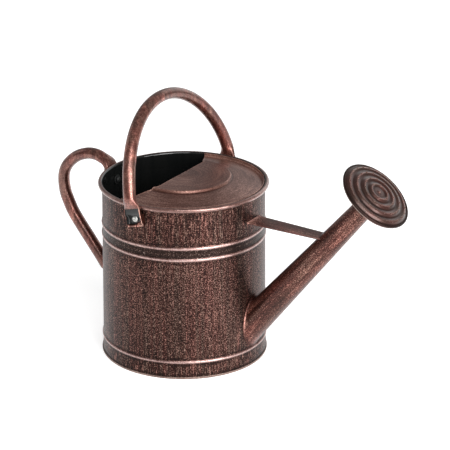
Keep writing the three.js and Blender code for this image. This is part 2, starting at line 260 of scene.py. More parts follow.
# ------------------------ materials
class Shader:
    """A material and the few shader nodes that the finishes below are made of."""

    def __init__(self, name):
        self.material = bpy.data.materials.new(name)
        self.material.use_nodes = True
        self.nodes = self.material.node_tree.nodes
        self.links = self.material.node_tree.links
        self.surface = self.nodes["Principled BSDF"]
        self.coords = self.nodes.new("ShaderNodeTexCoord").outputs["Object"]

    def feed(self, socket, value):
        """Links a socket into this one, or sets a constant on it."""
        if isinstance(value, bpy.types.NodeSocket):
            self.links.new(value, socket)
        else:
            socket.default_value = value

    def set(self, **values):
        """Feeds the surface's inputs, named with _ for a space."""
        for name, value in values.items():
            self.feed(self.surface.inputs[name.replace("_", " ")], value)

    def node(self, kind, output, inputs, **settings):
        """Adds a node with these settings and inputs, and gives one of its outputs."""
        node = self.nodes.new("ShaderNode" + kind)
        for name, value in settings.items():
            setattr(node, name, value)
        for name, value in inputs.items():
            self.feed(node.inputs[name], value)
        return node.outputs[output]

    def math(self, operation, a, b=0.0, clamp=False):
        return self.node("Math", 0, {0: a, 1: b}, operation=operation, use_clamp=clamp)

    def mapped(self, scale, turn=None):
        """Object coordinates, first turned about the axes and then scaled."""
        vector = self.coords
        if turn:
            vector = self.node("Mapping", "Vector", {"Vector": vector, "Rotation": turn})
        return self.node("Mapping", "Vector", {"Vector": vector, "Scale": scale})

    def rings(self, scale):
        """Coordinates that change fast away from the tank's axis and slowly round it."""
        level = self.node("Mapping", "Vector",
                          {"Vector": self.coords, "Location": (-AXIS_X, 0, 0), "Scale": (1, 1, 0)})
        away = self.node("VectorMath", "Value", {0: level}, operation="LENGTH")
        along = scale * 0.07
        return self.node("CombineXYZ", "Vector", {
            "X": self.math("MULTIPLY", away, scale),
            "Y": self.math("MULTIPLY", self.part(level, "X"), along),
            "Z": self.math("MULTIPLY", self.part(level, "Y"), along),
        })

    def part(self, vector, axis):
        return self.node("SeparateXYZ", axis, {"Vector": vector})

    def noise(self, vector, detail=2.0, roughness=0.5):
        return self.node("TexNoise", "Fac",
                         {"Vector": vector, "Scale": 1.0, "Detail": detail, "Roughness": roughness})

    def ramp(self, factor, stops):
        colour = self.node("ValToRGB", "Color", {"Fac": factor})
        elements = colour.node.color_ramp.elements
        while len(elements) < len(stops):
            elements.new(0.5)
        for element, (position, shade) in zip(elements, stops):
            element.position = position
            element.color = (*shade, 1.0)
        return colour

    def multiply(self, colour, other):
        return self.node("VectorMath", "Vector", {0: colour, 1: other}, operation="MULTIPLY")

    def span(self, value, low, high, to_low=0.0, to_high=1.0):
        """The value mapped from one range onto the other, and held at its ends."""
        return self.node("MapRange", "Result", {"Value": value, "From Min": low, "From Max": high,
                                                "To Min": to_low, "To Max": to_high})

    def wear_and_painted_light(self):
        """The number that each vertex carries: above 0 brighter, for rubbed metal and for painted
        highlights; below 0 darker, for patina and for painted shade.
        """
        return self.node("Attribute", "Fac", {}, attribute_name="wear_and_painted_light")

    def bump(self, height, strength, distance):
        normal = self.node("Bump", "Normal",
                           {"Strength": strength, "Distance": distance, "Height": height})
        self.set(Normal=normal)


# the finish from its darkest lacquer to bare metal
ANTIQUE_SHADES = (
    (0.0, (0.012, 0.0044, 0.0030)),
    (0.30, (0.032, 0.0120, 0.0084)),
    (0.50, (0.064, 0.0255, 0.0185)),
    (0.70, (0.135, 0.068, 0.054)),
    (0.88, (0.300, 0.182, 0.150)),
    (1.0, (0.540, 0.375, 0.320)),
)


def antiqued(name, base, speckle, streaks, streak_scale, turn=None, grain=1000.0, patch=0.25, roughness=0.4,
             tint=(1.0, 1.0, 1.0), zones=False, coat=0.25, coat_roughness=0.25, blush=None):
    """Dark brown lacquer over copper: a fine grain, brushed streaks, and lines made brighter or darker by
    each vertex's number: worn metal and patina, and also painted highlights and painted shade.

    base is the plain brightness; speckle, streaks and patch say how strong the grain, the streaks and
    the large clouds are. streak_scale is three scales along the axes, or one number for rings round the
    tank's axis. zones marks the wall's top and skirt with short dashes, and blush is the scale of redder
    strokes.
    """
    shader = Shader(name)

    def swing(value, amount):
        return shader.math("MULTIPLY", shader.math("SUBTRACT", value, 0.5), amount)

    fine = shader.noise(shader.mapped((grain, grain, grain * 1.5)), detail=1.5, roughness=0.6)
    if isinstance(streak_scale, tuple):
        across = shader.mapped(streak_scale, turn)
    else:
        across = shader.rings(streak_scale)
    streak = shader.noise(across, detail=2.0, roughness=0.55)
    cloud = shader.noise(shader.mapped((26, 26, 14), turn), detail=2.0)
    grain_part = swing(fine, 2.6 * speckle)
    streak_part = swing(streak, 1.5 * streaks)
    if zones:
        # above the upper beads and on the skirt the brush marks are short and strong
        dashes = shader.noise(shader.mapped((1100, 1100, 110)), detail=2.0, roughness=0.6)
        height = shader.part(shader.coords, "Z")
        above = shader.span(height, 0.146, 0.152)
        below = shader.span(height, 0.050, 0.012)
        zone = shader.math("MAXIMUM", above, below)
        grain_part = shader.math("MULTIPLY", grain_part, shader.span(zone, 0.0, 1.0, 1.0, 0.7))
        dashed = shader.math("ADD", swing(dashes, 1.2 * speckle), 0.07)
        streak_part = shader.math("ADD", streak_part, shader.math("MULTIPLY", dashed, zone))
    level = shader.math("ADD", grain_part, streak_part)
    level = shader.math("ADD", level, swing(cloud, patch))
    # the vertex number lightens or darkens the finish; besides rub and patina it carries painted highlights
    # and painted shade
    level = shader.math("ADD", level, shader.math("MULTIPLY", shader.wear_and_painted_light(), 0.6))
    level = shader.math("ADD", level, base, clamp=True)
    colour = shader.ramp(level, [
        (position, tuple(channel * factor for channel, factor in zip(shade, tint)))
        for position, shade in ANTIQUE_SHADES
    ])
    if blush:
        # redder and greener brush strokes side by side
        strokes = shader.noise(shader.mapped(blush, turn), detail=2.0)
        hues = shader.ramp(strokes, [(0.36, (0.92, 1.02, 1.01)), (0.64, (1.18, 0.95, 0.96))])
        colour = shader.multiply(colour, hues)
    shader.set(
        Base_Color=colour,
        Metallic=0.8,
        Roughness=shader.span(fine, 0.3, 0.7, roughness + 0.06, roughness - 0.06),
        # where the vertex number paints shade, the coat is taken off as well, so that painted shade shows
        # no reflection
        Coat_Weight=shader.span(shader.wear_and_painted_light(), -0.6, -0.1, 0.0, coat),      # the sunk places are dull
        Coat_Roughness=coat_roughness,
    )
    shader.bump(fine, 0.25 * speckle, 0.0004)
    return shader.material


def plain_metal(name, colour, roughness, grain):
    """Bare metal with a fine darker grain."""
    shader = Shader(name)
    fine = shader.noise(shader.mapped((grain, grain, grain)), detail=3.0, roughness=0.6)
    tint = shader.ramp(fine, [(0.25, tuple(c * 0.55 for c in colour)), (0.7, colour)])
    shader.set(Base_Color=tint, Metallic=1.0,
               Roughness=shader.span(fine, 0.3, 0.7, roughness + 0.1, roughness - 0.05))
    shader.bump(fine, 0.2, 0.0002)
    return shader.material


def dark_lining(name, roughness):
    """Near-black lacquer inside the tank, with faint vertical runs."""
    shader = Shader(name)
    runs = shader.noise(shader.mapped((160, 160, 9)), detail=2.0)
    colour = shader.ramp(runs, [(0.3, (0.0050, 0.0056, 0.0056)), (0.75, (0.0085, 0.0088, 0.0085))])
    shader.set(Base_Color=colour, Metallic=0.0, Roughness=roughness)
    return shader.material


def pale_floor():
    """Matt floor, bright enough to read as the white surround."""
    shader = Shader("pale_floor")
    cloud = shader.noise(shader.mapped((3, 3, 3)), detail=2.0)
    shader.set(Base_Color=shader.ramp(cloud, [(0.2, (0.86,) * 3), (0.8, (0.90,) * 3)]),
               Roughness=0.8, Emission_Color=(1, 1, 1, 1), Emission_Strength=0.6)
    return shader.material


along_spout = (0, SPOUT_ANGLE - pi / 2, 0)
wall_metal = antiqued(
    "bronze_wall", 0.27, 2.15, 0.6, (620, 620, 16), grain=950.0, zones=True, tint=(0.56, 0.475, 0.445),
    coat=0.0, blush=(260, 260, 6))
# the rolled rim's copy of the finish is brighter than the wall's: worn copper, and partly a painted
# highlight along the rim
rim_metal = antiqued(
    "bronze_rim", 0.74, 0.22, 0.2, (200, 200, 200), roughness=0.30, tint=(1.06, 0.97, 1.0), coat=0.8,
    coat_roughness=0.12)
# the bead crests' copy of the finish is brighter than the wall's: worn metal, and partly a painted
# highlight on the crests
bead_metal = antiqued(
    "bronze_bead", 0.62, 0.4, 0.2, (200, 200, 200), roughness=0.34, tint=(1.0, 0.98, 1.05), coat=0.4,
    coat_roughness=0.2)
band_metal = antiqued("bronze_band", 0.16, 1.5, 0.35, (500, 500, 60), tint=(0.80, 0.92, 0.95), coat=0.0)
hem_metal = antiqued("bronze_hem", 0.64, 0.2, 0.2, (300, 300, 300), tint=(0.95, 1.1, 1.12))
cover_metal = antiqued(
    "bronze_cover", 0.77, 0.22, 0.24, 480.0, grain=800.0, patch=0.4, roughness=0.42,
    tint=(1.08, 0.93, 0.88), coat=0.3)
spout_metal = antiqued(
    "bronze_spout", 0.46, 0.9, 0.6, (260, 260, 18), along_spout, grain=1100.0, patch=0.35,
    tint=(1.12, 0.88, 0.80), blush=(70, 70, 16))
sleeve_metal = antiqued(
    "bronze_sleeve", 0.60, 0.5, 0.5, (300, 300, 40), along_spout, grain=900.0, tint=(1.3, 0.84, 0.78))
brace_metal = antiqued(
    "bronze_brace", 0.50, 0.35, 0.35, (30, 400, 400), grain=900.0, tint=(1.18, 0.92, 0.88),
    blush=(60, 60, 60))
tube_metal = antiqued(
    "copper_tube", 0.68, 0.32, 0.45, (240, 240, 26), grain=800.0, roughness=0.32,
    tint=(1.18, 0.88, 0.80), coat=0.7, coat_roughness=0.22, blush=(90, 90, 40))
collar_metal = antiqued(
    "copper_collar", 0.55, 0.8, 0.2, (300, 300, 300), grain=900.0, tint=(1.2, 0.9, 0.85))
rose_metal = antiqued(
    "bronze_rose", 0.50, 0.15, 0.15, (90, 90, 90), grain=900.0, patch=0.2, roughness=0.34,
    tint=(0.94, 1.0, 1.0), coat=0.5, coat_roughness=0.2, blush=(60, 60, 60))
lining = dark_lining("dark_lining", 0.22)
lip_lining = dark_lining("dark_lining_glossy", 0.08)
dull_lining = dark_lining("dark_lining_dull", 0.6)
rivet_metal = plain_metal("rivet_silver", (0.66, 0.66, 0.63), 0.32, 900.0)


# ------------------------ tank wall
def bead(z, offset_z, half, out):
    """Rounded ring pressed out of the wall."""
    t = (z - offset_z) / half
    return out * (0.5 + 0.5 * cos(pi * t)) if abs(t) < 1 else 0.0


def wall_line(z):
    """Outside radius of the wall with its beads and its swell at the foot."""
    return wall_radius(z) + FOOT_SWELL * smooth(13.0, 5.0, z) + sum(bead(z, *ring) for ring in BEADS)


def wall_rub_and_painted_light(z):
    """Rubbed bright on the crest of each bead, partly a painted highlight; dark beside it, patina and
    painted shade in the grooves; and a painted shadow in the gap above the foot's hem.
    """
    wear_and_painted_light = -0.5 * hump(z, 3.6, 1.2)
    for centre, half, _out in BEADS:
        wear_and_painted_light += 0.62 * hump(z, centre + 0.1, 1.15)
        wear_and_painted_light -= 0.42 * (hump(z, centre + half + 0.7, 1.1) + hump(z, centre - half - 0.7, 1.1))
    return wear_and_painted_light


def rubbed_spot(angle, z):
    """Two copper-bright rub marks: on the wall beside the spout's foot and under the near ear."""
    turn = degrees(angle)
    by_spout = hump(turn, 343.0, 1.7) * smooth(26.0, 31.0, z) * smooth(46.0, 41.0, z)
    by_ear = hump(turn, 262.5, 1.0) * smooth(149.0, 154.0, z) * smooth(166.0, 162.0, z)
    return 0.5 * by_spout + 0.45 * by_ear


def tank_wall():
    """The sheet cylinder with its beads, rolled rim and side seam, and the hole under the spout."""
    heights = [1.1, 2.4, 3.0, 3.6, 4.2, 5.0, 6.5, 8.0, 10.0, 12.0]
    for centre, half, _out in BEADS:
        heights += [centre + (half + 2.4) * (k / 12) for k in range(-12, 13)]
    heights += [26, 30, 34, 38, 42, 46, 60, 75, 90, 105, 120, 136.7, 149, 153, 158, 162, 166, 170, 178]
    heights.sort()
    top = wall_radius(RIM_CENTRE_Z)
    centre = (top - SHEET + RIM_ROLL, RIM_CENTRE_Z)
    outer = [(wall_line(z), z) for z in heights]
    inner = [(wall_line(z) - SHEET, z) for z in reversed(heights)]
    curl_in = arc(centre, RIM_ROLL - SHEET, 180, -118, 14)
    curl_out = arc(centre, RIM_ROLL, -118, 180, 22)
    profile = outer + curl_in + curl_out + inner
    seam = pi
    angles = sorted(turns(TANK_AROUND) + [seam + radians(d) for d in (-2.3, -2.05, 2.05, 2.3)])

    def seam_bump(angle, _r, z):
        """The wall's folded side seam, down the back under the rear handle."""
        away = abs(degrees(angle - seam))
        return 0.45 * smooth(2.35, 2.0, away) * smooth(3.0, 5.0, z) * smooth(182.5, 180.5, z)

    inside_from = len(outer) + len(curl_in) + 17     # this far round, the roll faces the tank's inside
    plain, inside, band, rim, crest, lip = range(6)
    wear_and_painted_light = []
    for angle in angles:
        for k, (r, z) in enumerate(profile):
            if k >= inside_from:
                wear_and_painted_light.append(0.0)
            elif z > RIM_CENTRE_Z - RIM_ROLL - 0.2 and r > top + 0.05:
                wear_and_painted_light.append(0.1)
            else:
                wear_and_painted_light.append(wall_rub_and_painted_light(z) + rubbed_spot(angle, z))

    def skin(k):
        """Which material the profile's kth step has."""
        if k >= inside_from:
            return inside if k > inside_from + 6 else lip
        z = (profile[k][1] + profile[k + 1][1]) / 2
        # the rim takes the brighter rim finish, partly a painted highlight
        if z > RIM_CENTRE_Z - RIM_ROLL - 0.1:
            return rim
        # the bead crests take the brighter bead finish, partly a painted highlight
        if min(abs(z - ring[0] - 0.2) for ring in BEADS) < 1.4:
            return crest
        return band if BEADS[1][0] < z < BEADS[2][0] else plain

    face_slots = [skin(k) for k in range(len(profile))] * len(angles)
    materials = [wall_metal, lining, band_metal, rim_metal, bead_metal, lip_lining]
    shape = revolve(profile, angles, place, seam_bump)
    piece = new_object("tank_wall_sheet", shape, materials, "tank", ["tank_wall"],
                       wear_and_painted_light, face_slots)
    bore = spout_radius(0) - SHEET
    hole = disc([(0, -40.0), (bore, -40.0), (bore, 20.0), (0, 20.0)], 64, on_spout)
    boolean(piece, [cutter("bore", hole)])


# ------------------------ bottom
def tank_bottom():
    """Recessed disc that turns down inside the wall's foot and is folded up round it."""
    out = wall_radius(0) + FOOT_SWELL + 0.12
    within = wall_radius(0) - SHEET - GAP
    hem = 2.3
    under = 7.0
    profile = [(0, under), (within - 14, under), (within - 3.2, under)]
    profile += arc((within - SHEET - 2.0, 5.0), 2.0, 90, 0, 8)
    profile += [(within - SHEET, 0.5)]
    profile += arc((within - SHEET + 0.5, 0.5), 0.5, 180, 270, 4)
    profile += arc((out + SHEET - 0.6, 0.6), 0.6, 270, 360, 5)
    profile += [(out + SHEET, hem - 0.4)]
    profile += arc((out + SHEET - 0.35, hem - 0.35), 0.35, 0, 180, 8)
    profile += [(out, 0.9), (within, 0.9), (within, 5.5)]
    profile += arc((within - 2.4, 5.3), 2.4, 0, 90, 8)
    profile += [(within - 14, under + SHEET), (0, under + SHEET)]
    count = len(profile) - 2
    ring = [0.3 if z < hem + 0.2 and r > out else 0.0 for r, z in profile[1:-1]]
    wear_and_painted_light = ring * TANK_AROUND + [0.0, 0.0]
    inside_from = count - 11
    bands = [1 if k >= inside_from else 0 for k in range(count - 1)]
    new_object("tank_bottom_pan", disc(profile, TANK_AROUND, place), [hem_metal, lining],
               "tank", ["tank_bottom"], wear_and_painted_light, disc_slots(TANK_AROUND, bands, 0, 1))


# ------------------------ splash cover
# half of the cover's cut line, from the middle out past the wall
CUT_LINE = [(-2.5, 0.0), (-2.5, 40.0), (-2.9, 44.0), (-5.2, 47.6), (-8.5, 51.0), (-12.5, 58.5),
            (-17.0, 68.0), (-21.0, 74.5), (-25.0, 80.5), (-26.0, 84.0)]
COVER_RADIUS = wall_radius(RIM_CENTRE_Z) - SHEET - GAP
COVER_EDGE_Z = 183.4        # top of the plate beside the flange
COVER_STEP_Z = 189.9        # top of the plate at the foot of the raised half disc
COVER_RISE = 2.6            # height of the raised half disc


def cover_height(r):
    """Top of the cover's plate at this distance from the tank's axis."""
    flange = COVER_RADIUS - 1.5
    inwards = min(1.0, max(0.0, (flange - r) / (flange - 50)))
    return mix(COVER_EDGE_Z, COVER_STEP_Z, inwards ** 0.92) + COVER_RISE * smooth(50.4, 48.2, r)


def splash_cover():
    """Half-moon plate with a raised half disc and an upturned flange inside the rim."""
    edge = COVER_RADIUS
    radii = [6, 14, 22, 30, 36, 41, 45, 47.2]
    radii += [47.9 + 0.3 * k for k in range(10)]
    radii += [51.5, 53.5, 56, 60, 65, 70, 75, 79, 81]
    top = [(0, 193.0)] + [(r, cover_height(r) + 0.1 * (1 - (r / 48) ** 2 if r < 48 else 0)) for r in radii]
    top += [(edge - 1.5, cover_height(edge - 1.5)), (edge - 1.0, COVER_EDGE_Z + 0.2)]
    top += [(edge - SHEET, z) for z in (184.2, 185.6, 186.8)]
    top += [(edge - SHEET * 0.5, 187.1)]
    low = [(r, z - SHEET) for r, z in top if r < edge - 1.2]
    under = [(edge - 0.9, 182.9), (edge - 0.2, 183.4), (edge, 184.1), (edge, 185.6), (edge, 186.8)]
    profile = low + under + list(reversed(top))
    count = len(profile) - 2

    def worn(k, r):
        """A little rubbed on the raised half disc's edge, dark at its foot."""
        if r > edge - 1.2:
            return 0.2
        if k <= len(low):
            return 0.0
        return 0.08 * hump(r, 48.4, 0.8) - 0.4 * hump(r, 50.7, 0.8)

    ring = [worn(k, r) for k, (r, _z) in enumerate(profile[1:-1])]
    wear_and_painted_light = ring * TANK_AROUND + [0.1, 0.1]
    bands = [1 if k < len(low) - 1 else 0 for k in range(count - 1)]
    piece = new_object("splash_cover_sheet", disc(profile, TANK_AROUND, place), [cover_metal, lining],
                       "tank", ["splash_cover"], wear_and_painted_light,
                       disc_slots(TANK_AROUND, bands, 1, 0))
    outline = CUT_LINE + [(-26, 110), (110, 110), (110, -110), (-26, -110)]
    outline += [(x, -y) for x, y in reversed(CUT_LINE[1:])]
    plan = loft([[place(x, y, z) for x, y in outline] for z in (170, 200)])
    boolean(piece, [cutter("plan", plan)], "INTERSECT")


def cover_hem():
    """The cover's free edge, folded under: a thin rounded bead along the whole cut line."""
    line = []
    bead_radius = 0.62
    half = [p for p in CUT_LINE if hypot(*p) < COVER_RADIUS - 0.9]
    whole = [(x, -y) for x, y in reversed(half[1:])] + half
    for (x0, y0), (x1, y1) in zip(whole, whole[1:]):
        steps = max(1, int(hypot(x1 - x0, y1 - y0) / 1.0))
        for i in range(steps):
            line.append((mix(x0, x1, i / steps), mix(y0, y1, i / steps)))
    line.append(whole[-1])
    loops = []
    for i, (x, y) in enumerate(line):
        before, after = line[max(0, i - 3)], line[min(len(line) - 1, i + 3)]
        way = Vector((after[0] - before[0], after[1] - before[1], 0)).normalized()
        out = Vector((-way.y, way.x, 0))
        z = cover_height(hypot(x, y)) - SHEET / 2
        loop = []
        for k in range(10):
            angle = 2 * pi * k / 10
            level = out * (bead_radius * cos(angle))
            loop.append(place(x + level.x, y + level.y, z + bead_radius * sin(angle)))
        loops.append(loop)
    new_object("splash_cover_hem", loft(loops), [cover_metal], "tank", None,
               [0.15] * (10 * len(loops)))


# ------------------------ tubes with pressed ends
LOOP = 72                   # points round a tube
# a painted shadow: faces this deep in painted shade get the black lining
POCKET_SHADE = -0.7               # faces darker than this are the black floor of an ear's pocket

# stations along a tube's pressed end, closer where the ear steps out and where it turns round
END_STATIONS = [
    0, 0.2, 0.5, 0.9, 1.3, 1.7, 2.1, 2.6, 3.2, 3.8, 4.6, 5.6, 7, 8.5, 10, 11, 11.6, 12, 12.4,
    12.8, 13.2, 13.6, 14.2, 15, 16, 17, 17.6, 18.2, 18.7, 19.0, 19.2, 19.4, 19.6, 19.8, 20.0,
    20.3, 20.8, 21.5, 22.4, 24, 26, 28, 30, 32, 34, 36,
]


def ear_points(width, inner, floor, lip):
    """Outline of a pressed end: flat inner face, thin raised side edges, sunk outer face."""
    a = width / 2
    mid = inner + 1.4
    outer = [
        (a, mid), (a, lip - 0.9), (a - 0.05, lip - 0.4), (a - 0.25, lip - 0.08), (a - 0.55, lip),
        (a - 0.85, lip - 0.1), (a - 1.05, lip - 0.45), (a - 1.1, lip - 1.0), (a - 1.2, floor + 0.8),
        (a - 1.4, floor + 0.3), (a - 1.9, floor + 0.04), (a - 2.8, floor), (a * 0.4, floor), (0, floor),
    ]
    under = [
        (a, mid), (a - 0.05, inner + 0.6), (a - 0.3, inner + 0.2), (a - 0.9, inner), (a * 0.6, inner),
        (0, inner),
    ]
    return outer, under


def walker(points, corner=0.0):
    """A polyline's length, and a function that gives the point at a length along it.

    Each corner counts for some length of its own, so that even steps put more points near corners.
    """
    lengths = [0.0]
    for p, q in zip(points, points[1:]):
        lengths.append(lengths[-1] + hypot(q[0] - p[0], q[1] - p[1]) + corner)
    total = lengths[-1]

    def at(s):
        s = min(max(s, 0.0), total)
        k = min(max(j for j, length in enumerate(lengths) if length <= s + 1e-9), len(points) - 2)
        t = (s - lengths[k]) / (lengths[k + 1] - lengths[k])
        return mix(points[k][0], points[k + 1][0], t), mix(points[k][1], points[k + 1][1], t)

    return total, at


def spread(points, count):
    """The polyline resampled to count + 1 points."""
    total, at = walker(points, corner=0.35)
    return [at(total * i / count) for i in range(count + 1)]


def ear_loop(width, inner, floor, lip):
    """The pressed end's whole outline, in the order of a round tube's points."""
    outer, under = ear_points(width, inner, floor, lip)
    quarter = LOOP // 4
    up = spread(outer, quarter)
    down = spread(under, quarter)
    loop = up[:-1] + [(-a, b) for a, b in reversed(up)][:-1]
    loop += [(-a, b) for a, b in down[:-1]] + list(reversed(down))[:-1]
    return loop


def ear_rub_and_painted_light(a, b, near, width, lip):
    """Rubbed lip round a pocket painted dark as painted shade, with lighter patches at the pocket's lower
    corners. The lip and the patches are painted brighter on the +a side, a painted highlight, and the ear's
    sides get painted shade.
    """
    side = smooth(-3.0, 3.0, a)
    if abs(a) < width / 2 - 0.8:
        start = mix(-5.4, -2.6, smooth(-2.0, 8.0, a))
        patch = smooth(start, start - 1.6, near) * (1 - hump(a, 0.3, 0.9))
        return mix(-0.75, mix(0.0, 0.3, side), patch)
    if b > lip - 0.6:
        return mix(mix(0.0, 0.7, side), 0.0, smooth(-3.5, -6.0, near))
    return -0.6


def pressed_tube(name, path, radius, ears, where, squash, material, body, node):
    """Round tube along a planar path whose two ends are pressed flat into ears.

    path is a list of (out, up) points. Each ear is a dict: width, inside (inner face), clear (inner
    face above the step) and flip for an end whose outer face looks the other way. squash gives how
    far the bends flatten the tube, from the share of its length. where turns (across, out, up) into
    a place in the scene.
    """
    total, at = walker(path)
    stations = END_STATIONS + [mix(38, total - 38, i / 110) for i in range(111)]
    stations += [total - s for s in reversed(END_STATIONS)]
    loops = []
    wear_and_painted_light = []
    for s in stations:
        first = s < total / 2
        near = (s if first else total - s) - EAR_BELOW
        ear = ears[0] if first else ears[1]
        centre = Vector(at(s))
        tangent = (Vector(at(s + 0.6)) - Vector(at(s - 0.6))).normalized()
        normal = Vector((tangent.y, -tangent.x))
        sign = -1 if ear["flip"] else 1
        # the ear's faces, measured from the path towards its outer side
        away = abs(centre.x)
        inside = mix(ear["inside"], ear["clear"], smooth(EAR_STEP, EAR_STEP + 1.5, near)) - away
        scoop = smooth(-4.2, -6.9, near)
        floor = mix(ear["inside"], ear["clear"], smooth(-1.0, 8.5, near)) - away + 2.1 + 2.3 * scoop
        lip = mix(ear["inside"] + 6.6, ear["clear"] + 4.4, smooth(0.0, 11.0, near)) - away
        lip -= 1.6 * smooth(-4.0, -8.0, near)
        floor = min(floor, lip - 0.15)
        width = mix(2 * radius, ear["width"] - 1.0, smooth(24.0, 10.0, near)) + smooth(4.0, -6.0, near)
        width -= 1.6 * smooth(-6.2, -8.0, near) ** 2
        pressed = ear_loop(width, inside, floor, lip)
        sunk = smooth(12.3, 11.1, near)
        flat = smooth(23.0, 10.5, near)
        # the tube is pressed towards the tank: its outer side comes in further than its inner side
        pressed_at = abs(at(EAR_BELOW + 10.5 if first else total - EAR_BELOW - 10.5)[0])
        high_side = mix(radius * squash(s / total), ear["clear"] + 4.6 - pressed_at, flat)
        low_side = mix(-radius * squash(s / total), ear["clear"] - pressed_at, flat)
        thick = (high_side - low_side) / 2
        square = mix(1.0, 0.62, flat)
        for k, (a, b) in enumerate(pressed):
            theta = 2 * pi * k / LOOP
            outer = sin(theta) > 0
            cosine = copysign(abs(cos(theta)) ** square, cos(theta))
            sine = copysign(abs(sin(theta)) ** square, sin(theta))
            round_a = cosine * width / 2
            round_b = low_side + thick + thick * sine
            share = sunk if outer else flat
            notch = scoop * hump(a, 0.0, 0.55) * 1.5 if outer else 0.0
            pressed[k] = (mix(round_a, a, share), mix(round_b, b - notch, share))
            # the pressed end is painted darker as it sinks, painted shade, most of all on its inner face
            # against the tank
            wear_and_painted_light.append(ear_rub_and_painted_light(a, b, near, width, lip) if outer and sunk > 0.5 else -0.6 * sunk)
        points = []
        for a, b in pressed:
            q = centre + normal * (b * sign)
            points.append(where(a, q.x, q.y))
        if ear["flip"]:
            points = [points[(LOOP - k) % LOOP] for k in range(LOOP)]
            turned = wear_and_painted_light[-LOOP:]
            wear_and_painted_light[-LOOP:] = [turned[(LOOP - k) % LOOP] for k in range(LOOP)]
        loops.append(points)
    verts, faces = loft(loops)
    # faces deep in painted shade take the black lining, a dark sheet standing in for the pocket's shade
    face_slots = [1 if all(wear_and_painted_light[v] < POCKET_SHADE for v in face) else 0 for face in faces]
    new_object(name, (verts, faces), [material, lining], body, [node], wear_and_painted_light, face_slots, sharp=50)


def bail_handle():
    """The swinging bail: half an ellipse that leans back and bows a little forward."""
    path = [(BAIL_HALF_WIDTH, -EAR_BELOW)]
    for i in range(241):
        angle = pi * i / 240
        path.append((BAIL_HALF_WIDTH * cos(angle), BAIL_HEIGHT * sin(angle)))
    path.append((-BAIL_HALF_WIDTH, -EAR_BELOW))
    clear = wall_radius(RIM_CENTRE_Z) - SHEET + 2 * RIM_ROLL + 0.6

    def where(a, out, up):
        share = min(1.0, max(0.0, up / BAIL_HEIGHT))
        a += BAIL_BOW * sin(pi * share ** 0.65) * smooth(-6.0, 16.0, up)
        x = PIVOT_X + a * cos(BAIL_LEAN) - up * sin(BAIL_LEAN)
        z = PIVOT_Z + a * sin(BAIL_LEAN) + up * cos(BAIL_LEAN)
        return place(x, out, z)

    ear = {"width": 20.0, "inside": EAR_INSIDE, "clear": clear, "flip": False}
    pressed_tube("bail_tube", path, BAIL_TUBE, [ear, ear], where,
                 lambda u: 1 - 0.07 * smooth(0.22, 0.45, u) * smooth(0.78, 0.55, u),
                 tube_metal, "bail", "bail_handle")


# the rear handle's centreline: distance behind the tank's axis, and height
HANDLE_LINE = [
    (94.9, 163.0), (94.9, 171.0), (94.9, 179.5), (96.3, 186.5), (99.5, 190.6), (104.5, 193.0),
    (111.0, 194.1), (119.4, 193.4), (129.8, 189.7), (137.6, 184.6), (144.3, 178.1), (148.8, 171.1),
    (151.0, 163.8), (151.4, 156.9), (150.7, 150.2), (149.3, 143.6), (146.8, 137.3), (140.6, 124.8),
    (131.9, 112.8), (122.4, 100.9), (113.0, 89.2), (103.5, 77.2), (96.6, 67.5), (93.3, 59.5),
    (93.0, 51.0), (93.0, 43.0),
]


def catmull(points, steps):
    """A smooth curve through the points, with this many steps between two of them."""
    result = []
    for i in range(len(points) - 1):
        p0 = Vector(points[max(0, i - 1)])
        p1 = Vector(points[i])
        p2 = Vector(points[i + 1])
        p3 = Vector(points[min(len(points) - 1, i + 2)])
        for k in range(steps):
            t = k / steps
            q = 0.5 * ((2 * p1) + (p2 - p0) * t + (2 * p0 - 5 * p1 + 4 * p2 - p3) * t * t
                       + (3 * p1 - p0 - 3 * p2 + p3) * t ** 3)
            result.append((q.x, q.y))
    result.append(points[-1])
    return result


def rear_handle():
    """The fixed loop handle at the rear, pressed flat at both ends."""
    clear = wall_radius(RIM_CENTRE_Z) - SHEET + 2 * RIM_ROLL + 0.3
    low = wall_radius(LOWER_RIVET_Z) + 0.5
    upper = {"width": 20.0, "inside": EAR_INSIDE, "clear": clear, "flip": False}
    lower = {"width": 20.0, "inside": low, "clear": low + 0.6, "flip": True}
    pressed_tube("rear_handle_tube", catmull(HANDLE_LINE, 10), HANDLE_TUBE, [upper, lower],
                 lambda a, out, up: place(-out, a, up),
                 lambda u: 1 - 0.08 * smooth(0.06, 0.14, u) * smooth(0.55, 0.4, u),
                 tube_metal, "tank", "rear_handle")


# ------------------------ spout, flange and brace
def wall_hit(radius, angle, offset):
    """Distance along the spout where a line beside its axis meets the tank's wall."""
    x, y = radius * cos(angle), radius * sin(angle)
    low, high = -60.0, 60.0
    for _ in range(40):
        t = (low + high) / 2
        point = SPOUT_FOOT + SPOUT_WAY * t - SPOUT_UP * x
        outside = hypot(point.x, y) > wall_radius(point.z) + offset
        low, high = (low, t) if outside else (t, high)
    return (low + high) / 2


SPOUT_AROUND = 128          # facets round the spout and its collar


